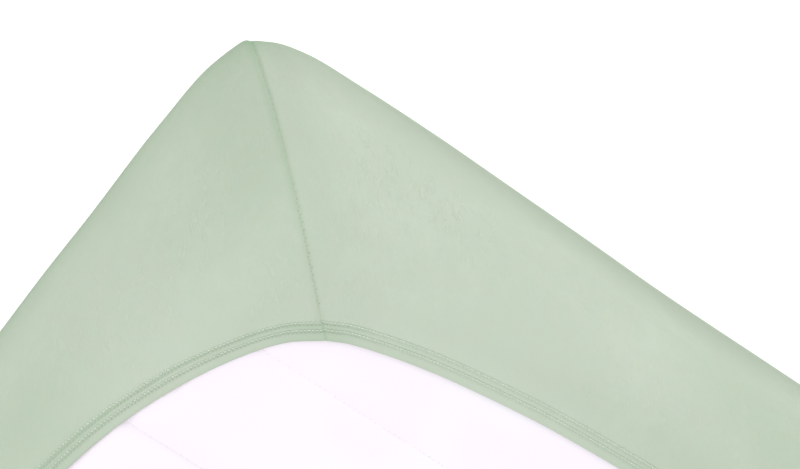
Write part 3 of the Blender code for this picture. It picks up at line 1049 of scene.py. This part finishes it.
    def build(self) -> Thing:
        """Make the closed shell: its outside, the hem's edge and its inside.

        Returns:
            The sheet's object.
        """
        self.lay_out()
        grid, outside = self.grid, self.surface()
        rings = outside.shape[1]
        inner_rings = [*range(0, rings - len(self.hem_section), self.inner_every), rings - self.inner_last]
        share = smooth_step((np.arange(rings) - self.rim_rings - self.wall_rings) / self.rounding_rings)
        thickness = self.wall_thickness + (self.hem_thickness - self.wall_thickness) * share
        inside = (grid.points - grid.normals * thickness[:, None])[:, inner_rings[::-1]]
        points = np.concatenate([outside, inside], 1).transpose(1, 0, 2)
        faces = tube(np.arange(points.shape[0] * points.shape[1]).reshape(points.shape[:2]))
        sheet = mesh_object("jersey_fitted_sheet", points.reshape(-1, 3), faces)
        self.unwrap(sheet.data, np.array([*range(rings), *inner_rings[::-1]]))
        return sheet

    def row_ring(self, from_edge: float) -> tuple[int, float]:
        """Find where a row of stitches lies between two rings of the hem.

        Args:
            from_edge: the row's distance from the hem's edge.

        Returns:
            The ring on its flap side, and the row's share of the way to the next ring.
        """
        places = [place * MM for place, _ in self.hem_section]
        after = next(k for k, place in enumerate(places) if place <= from_edge)
        share = (places[after - 1] - from_edge) / (places[after - 1] - places[after])
        return self.grid.points.shape[1] - len(places) + after - 1, share

    def around(self, ring: int) -> Array:
        """Give every column's distance round the cloth on one ring, and the whole way round."""
        line = self.grid.points[:, ring]
        return travelled(np.append(line, line[:1], 0))

    def stitch_line(self) -> tuple[Array, int]:
        """Give the distances round the turned hem, and how many stitches a row of it has."""
        turn = self.around(self.row_ring(self.finish.turned)[0])
        return turn, int(turn[-1] / self.stitch_pitch)

    def unwrap(self, data: bpy.types.Mesh, ring_of: Array) -> None:
        """Give the cloth its own coordinates, for its knit, its hem and its seams.

        Args:
            data: the sheet's mesh.
            ring_of: the grid's ring that each of the mesh's rings repeats.
        """
        grid, columns = self.grid, len(self.grid.run)
        point_of = np.empty(len(data.loops), dtype=np.int32)
        data.loops.foreach_get("vertex_index", point_of)
        sizes = np.empty(len(data.polygons), dtype=np.int32)
        data.polygons.foreach_get("loop_total", sizes)
        column, ring = point_of % columns, ring_of[point_of // columns]
        face_of = np.repeat(np.arange(len(sizes)), sizes)
        flat_face = sizes[face_of] > 4
        closing = np.isin(face_of, face_of[column == columns - 1]) & (column == 0) & ~flat_face

        foot, (edge, count) = self.around(self.rim_rings + 1), self.stitch_line()
        stitches = edge / edge[-1] * count
        places, from_seam = grid.points[column, ring], grid.from_seam[column, ring]
        climb, from_edge = grid.climb[column, ring], grid.from_edge[column, ring]
        layers = {
            "cloth": (np.where(flat_face, places[:, 0], foot[column] + closing * foot[-1]),
                      np.where(flat_face, places[:, 1], climb)),
            "hem": (stitches[column] + closing * stitches[-1], from_edge),
            "seam": (np.where(flat_face, 0.5, from_seam), climb),
        }
        for name, pair in layers.items():
            data.uv_layers.new(name=name).data.foreach_set("uv", np.stack(pair, 1).ravel())
        # The painted light and shade, and where small creases crowd, kept at the points.
        for name, zones in ((PAINTED_LIGHT_SHADE, self.zones), (CRINKLE, self.crinkled)):
            values = self.zone_values(zones)[:, ring_of].T.ravel()
            data.attributes.new(name, "FLOAT", "POINT").data.foreach_set("value", values)

    def dress(self, sheet: Thing, with_pieces: list[Thing], rests_on: str) -> None:
        """Give the sheet its finish and its body, and hide the frame's own sheet.

        Args:
            sheet: the sheet's object.
            with_pieces: the stitches sewn on it.
            rests_on: the piece that it is stretched over; not used.
        """
        finished(sheet, self.finish.make(), Slot.JERSEY)
        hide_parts("fitted_sheet")
        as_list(with_pieces)


# --- Stitches ---
@dataclass(frozen=True)
class Stitch:
    """One straight stitch: a short thread, fat in the middle, its ends sunk in the cloth."""

    length: float = 0.0021
    thickness: float = 0.0010
    sides: int = 5
    # Along the stitch: the share of its length, of its thickness, and its lift.
    shares: tuple[float, ...] = (-0.5, -0.36, 0.0, 0.36, 0.5)
    widths: tuple[float, ...] = (0.25, 0.85, 1.0, 0.85, 0.25)
    lifts: tuple[float, ...] = (-0.9, 0.25, 0.6, 0.25, -0.9)

    def shape(self) -> Array:
        """Give the stitch's points along, across and up.

        Returns:
            The points, ring by ring.
        """
        radius, points = self.thickness / 2.0, []
        for share, width, lift in zip(self.shares, self.widths, self.lifts):
            for turn in np.arange(self.sides) * 2.0 * math.pi / self.sides:
                across, up = math.cos(turn) * width, math.sin(turn) * width + lift
                points.append((share * self.length, across * radius, up * radius))
        return np.array(points)

    def sew(self, name: str, places: Array, along: Array, up: Array) -> Thing:
        """Make one joined mesh of stitches.

        Args:
            name: the piece's name.
            places: the middle of each stitch.
            along: the way each stitch runs.
            up: the way off the cloth at each.

        Returns:
            The stitches' object.
        """
        points, along = self.shape(), unit(along)
        faces = tube(np.arange(len(points)).reshape(-1, self.sides))
        across = unit(np.cross(up, along))
        axes = np.stack([along, across, np.cross(along, across)], 1)
        every = places[:, None, :] + np.einsum("pk,nkc->npc", points, axes)
        starts = range(0, every.size // 3, len(points))
        joined = [[number + start for number in face] for start in starts for face in faces]
        return mesh_object(name, every.reshape(-1, 3), joined)


@dataclass
class HemStitching:
    """The two rows of twin-needle stitches that hold the turned hem all the way round."""

    sheet: FittedSheet
    finish: SewingThread = SewingThread()
    stitch: Stitch = Stitch()
    row_places: tuple[float, ...] = (0.0135, 0.0083)
    lift: float = 0.00025

    def row(self, name: str, from_edge: float) -> Thing:
        """Sew one row, this far from the hem's edge.

        Args:
            name: the piece's name.
            from_edge: the row's distance from the hem's edge.

        Returns:
            The row's object.
        """
        surface, (ring, share) = self.sheet.surface(), self.sheet.row_ring(from_edge)
        line = surface[:, ring] * (1.0 - share) + surface[:, ring + 1] * share
        turn, count = self.sheet.stitch_line()
        at = (np.arange(count) + 0.5) * turn[-1] / count
        centre, off = (
            on_line(at, turn, np.append(rows, rows[:1], 0))
            for rows in (line, self.sheet.grid.normals[:, ring])
        )
        along = np.roll(centre, -1, 0) - np.roll(centre, 1, 0)
        return self.stitch.sew(name, centre + off * self.lift, along, off)

    def build(self) -> list[Thing]:
        """Sew and dress both rows."""
        material, rows = self.finish.make(), enumerate(self.row_places, start=1)
        return [finished(self.row(f"hem_stitches_{k}", place), material, Slot.JERSEY) for k, place in rows]


@dataclass
class SeamStitching:
    """Small beads of thread that show in the four corner seams."""

    sheet: FittedSheet
    finish: SewingThread = SewingThread(name="seam_thread", colour=(190, 200, 175), dull=(174, 185, 160))
    stitch: Stitch = Stitch(length=0.0019, thickness=0.0006, lifts=(-0.9, 0.0, 0.3, 0.0, -0.9))
    pitch: float = 0.0026
    sway: float = 0.0005
    lift: float = 0.0001

    def build(self) -> Thing:
        """Sew and dress the beads of all four seams.

        Returns:
            The beads' object.
        """
        grid, surface = self.sheet.grid, self.sheet.surface()
        rings = slice(self.sheet.rim_rings + 1, -len(self.sheet.hem_section))
        seams = []
        for column in np.flatnonzero(grid.panel == 0.0):
            line = surface[column, rings]
            run = travelled(line)
            at = np.arange(self.pitch, run[-1], self.pitch)
            centre, off = on_line(at, run, line), on_line(at, run, grid.normals[column, rings])
            along = np.gradient(centre, axis=0)
            swayed = unit(np.cross(off, along)) * self.sway * np.cos(math.pi * np.arange(len(at)))[:, None]
            seams.append((centre + swayed + off * self.lift, along, off))
        beads = self.stitch.sew("seam_stitches", *(np.concatenate(parts) for parts in zip(*seams)))
        return finished(beads, self.finish.make(), Slot.JERSEY)


# --- The mattress ---
@dataclass
class QuiltedMattress:
    """The plain quilted mattress: padded channels run the length of its underside."""

    form: Form
    finish: Ticking = Ticking()
    thread: SewingThread = SewingThread(name="white_thread", colour=(246, 242, 248), dull=(238, 233, 242))
    stitch: Stitch = Stitch(length=0.0032, thickness=0.0006, lifts=(-0.9, -0.1, 0.1, -0.1, -0.9))
    stitch_pitch: float = 0.0042
    stitch_lift: float = 0.2
    channel_first: float = 0.148
    channel_pitch: float = 0.0916
    channel_pulls: tuple[float, ...] = (0.3, 1.3, 0.5, 1.1, 0.4, 0.9, 0.5, 1.2)
    channel_depth: float = 0.0022
    channel_fade: float = 0.060
    groove_share: float = 0.1
    groove_width: float = 0.0016
    slope_width: float = 0.011
    # Columns from a channel's middle to one side, in millimetres.
    beside: tuple[float, ...] = (1.4, 3.0, 6.0, 10.0, 16.0, 26.0)
    along_step: float = 0.016
    edge_angles: int = 13
    end_row: float = 0.00001

    def channels(self) -> Array:
        """Give the x of every quilting channel's middle."""
        wall = -self.form.half_width - self.form.ground
        return wall + self.channel_first + self.channel_pitch * np.arange(len(self.channel_pulls))

    def drop(self, plan: Array) -> Array:
        """Give how far the quilting draws the underside in.

        Args:
            plan: places across and along.

        Returns:
            The depth at each place.
        """
        depth = np.zeros(plan.shape[:-1])
        for middle, pull in zip(self.channels(), self.channel_pulls):
            away = np.abs(plan[..., 0] - middle)
            slope = pull * (1.0 - np.clip(away / self.slope_width, 0.0, 1.0)) ** 2
            depth += slope + self.groove_share * (bell(away, self.groove_width) - slope)
        fade = smooth_step((self.form.half_length - np.abs(plan[..., 1])) / self.channel_fade)
        return self.channel_depth * depth * fade

    def underside(self, plan: Array) -> Array:
        """Give the height of the quilted underside at places across and along."""
        return self.form.underside(self.form.flipped(np.abs(plan))) - self.drop(plan)

    def build(self) -> Thing:
        """Make the mattress: the underside, the sleeping face and the walls between them.

        Returns:
            The mattress's object.
        """
        form = self.form
        reach = form.corner_reach
        crowded = reach * bend(self.edge_angles)
        left, near = crowded - form.half_width, crowded - form.half_length
        offsets = np.array([*(-b for b in self.beside), 0.0, *self.beside]) * MM
        inner = (self.channels()[:, None] + offsets).ravel()
        across = np.unique(np.round(np.concatenate([left, inner, -left]), 5))
        count = round(2.0 * (form.half_length - reach) / self.along_step)
        middle = np.linspace(-form.half_length + reach, form.half_length - reach, count + 1)[1:-1]
        y = np.repeat(np.concatenate([near, middle, -near[::-1]])[:, None], len(across), 1)
        narrow = form.half_width - form.outline_inset(np.maximum(form.half_length - np.abs(y), self.end_row))
        x = across * np.where(np.abs(across) > form.half_width - reach, narrow / form.half_width, 1.0)
        plan = np.dstack([np.clip(x, -narrow, narrow), y])

        bottom = form.sleeping_face(form.flipped(np.abs(plan)))
        points = np.stack([np.dstack([plan, height]) for height in (self.underside(plan), bottom)])
        upper = np.arange(y.size).reshape(y.shape)
        quads = np.stack([upper[:-1, :-1], upper[:-1, 1:], upper[1:, 1:], upper[1:, :-1]], -1).reshape(-1, 4)
        edge = np.concatenate([upper[0], upper[1:, -1], upper[-1, -2::-1], upper[-2:0:-1, 0]])
        faces = [*quads.tolist(), *(quads[:, ::-1] + y.size).tolist(), *band(edge + y.size, edge)]
        return mesh_object("quilted_mattress", points.reshape(-1, 3), faces)

    def sew(self) -> Thing:
        """Sew the quilting's rows of stitches into the channels.

        Returns:
            The stitches' object.
        """
        reach = self.form.half_length - self.channel_fade
        y = np.arange(-reach, reach, self.stitch_pitch)
        plan = np.stack(np.meshgrid(self.channels(), y, indexing="ij"), -1).reshape(-1, 2)
        height = self.underside(plan) + self.stitch.thickness * self.stitch_lift
        along, up = (np.tile(way, (len(plan), 1)) for way in ((0.0, 1.0, 0.0), (0.0, 0.0, 1.0)))
        return self.stitch.sew("quilting_stitches", np.column_stack([plan, height]), along, up)

    def dress(self, mattress: Thing, stitches: Thing) -> None:
        """Give the mattress and its stitches their finishes and their body, and hide the frame's own
        mattress.

        Args:
            mattress: the mattress's object.
            stitches: its quilting stitches.
        """
        finished(mattress, self.finish.make(), Slot.TICKING)
        finished(stitches, self.thread.make(), Slot.TICKING)
        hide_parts("mattress")


# --- The studio ---
@dataclass
class StudioCamera:
    """The camera above the covered mattress, turned so that one corner points up."""

    azimuth: float = -31.187
    elevation: float = 65.927
    roll: float = 157.105
    target: Triple = (-0.4183, -0.8762, 0.18)
    distance: float = 2.6025
    lens: float = 180.0
    sensor: float = 36.0
    nearest: float = 0.1
    farthest: float = 50.0

    def build(self) -> None:
        """Make the camera and hand it to the scene."""
        angles = (self.azimuth, 90.0 - self.elevation, self.roll)
        turn, tilt, roll = (Matrix.Rotation(math.radians(a), 3, axis) for a, axis in zip(angles, "ZXZ"))
        data = bpy.data.cameras.new("camera")
        data.lens, data.sensor_width = self.lens, self.sensor
        data.clip_start, data.clip_end = self.nearest, self.farthest
        camera = placed("camera", data)
        place = (turn @ tilt @ roll).to_4x4()
        place.translation = Vector(self.target) + (turn @ tilt).col[2] * self.distance
        camera.matrix_world = place
        bpy.context.scene.camera = camera


@dataclass(frozen=True)
class SoftLight:
    """A large soft disc of light, aimed at the corner in view."""

    name: str
    place: Triple
    strength: float
    size: float = 2.0
    aim: Triple = (-0.35, -0.75, 0.1)

    def build(self) -> None:
        """Hang the light."""
        data = bpy.data.lights.new(self.name, "AREA")
        data.shape, data.size, data.energy = "DISK", self.size, self.strength
        light = placed(self.name, data)
        light.location = self.place
        towards = Vector(self.aim) - Vector(self.place)
        light.rotation_euler = towards.to_track_quat("-Z", "Y").to_euler()


@dataclass
class Studio:
    """A plain white floor under very soft light."""

    shown_finish: StudioWhite = StudioWhite()
    bounce_finish: StudioWhite = StudioWhite(name="studio_bounce", colour=(243, 243, 243), glow=0.0)
    floor_half: float = 12.0
    floor_gap: float = 0.0005
    sky: float = 0.80
    lights: tuple[SoftLight, ...] = (
        SoftLight("key", (-3.2, -0.6, 1.2), 28.0),
        SoftLight("fill", (1.5, -2.9, 1.5), 26.0, 1.6, (0.1, -0.9, 0.1)),
        SoftLight("top", (0.6, 0.3, 3.4), 18.0, 2.5, (0.0, -0.3, 0.1)),
    )

    def build(self) -> None:
        """Make the floor, one for the camera and one for the light, and all the lights."""
        shown = self.floor("studio_floor", self.shown_finish, 1)
        shown.visible_diffuse = shown.visible_glossy = shown.visible_shadow = False
        bounce = self.floor("studio_bounce", self.bounce_finish, 2)
        bounce.visible_camera = False
        self.surround()
        for light in self.lights:
            light.build()
        bpy.context.scene.view_settings.view_transform = "Standard"

    def floor(self, name: str, finish: StudioWhite, gaps_down: int) -> Thing:
        """Make a large plain floor just below the object.

        Args:
            name: the floor's name.
            finish: its finish.
            gaps_down: how many small gaps it lies below the object.

        Returns:
            The floor's object.
        """
        half, level = self.floor_half, -self.floor_gap * gaps_down
        signs = ((-1, -1), (1, -1), (1, 1), (-1, 1))
        corners = np.array([(x * half, y * half, level) for x, y in signs])
        floor = mesh_object(name, corners, [(0, 1, 2, 3)], smooth_faces=False)
        floor.data.materials.append(finish.make())
        return floor

    def surround(self) -> None:
        """Light the scene evenly from all round."""
        world = bpy.data.worlds.new("studio")
        world.use_nodes = True
        background = world.node_tree.nodes["Background"].inputs
        background["Strength"].default_value, background["Color"].default_value = self.sky, WHITE
        bpy.context.scene.world = world


# --- The whole ---
def covered_forms() -> tuple[Form, Form]:
    """Work out the cloth's and the mattress's form from the frame.

    Returns:
        The form of the cloth's outside and that of the mattress inside it.
    """
    below_cloth, rounder_rim, rounder_edge, rounder_corner = 0.0012, 0.005, 0.001, 0.002
    low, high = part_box("mattress")
    clear = low.z
    raised = clear - below_cloth
    cloth = Form(half_width=high.x + clear, half_length=high.y + clear, ground=0.0, top=high.z + clear)
    slab = Form(
        half_width=high.x,
        half_length=high.y,
        ground=low.z,
        top=high.z + raised,
        rim_depth=cloth.rim_depth + rounder_rim,
        rim_height=cloth.rim_height + rounder_rim,
        edge_reach=cloth.edge_reach - clear + rounder_edge,
        edge_drop=cloth.edge_drop - clear + rounder_edge + raised,
        corner_reach=cloth.corner_reach - clear + rounder_corner,
        corner_drop=cloth.corner_drop - clear + rounder_corner + raised,
    )
    return cloth, slab


def main() -> None:
    """Build the studio, the mattress and the sheet over it."""
    StudioCamera().build()
    Studio().build()
    cloth, slab = covered_forms()

    quilted = QuiltedMattress(slab)
    mattress = quilted.build()
    quilted.dress(mattress, quilted.sew())
    log.info("mattress: %d faces", len(mattress.data.polygons))

    fitted = FittedSheet(cloth)
    sheet = fitted.build()
    rows = HemStitching(fitted).build()
    beads = SeamStitching(fitted).build()
    fitted.dress(sheet, [*rows, beads], mattress.name)
    log.info("fitted sheet: %d faces, %d stitch pieces", len(sheet.data.polygons), len(rows) + 1)


if __name__ == "__main__":
    main()
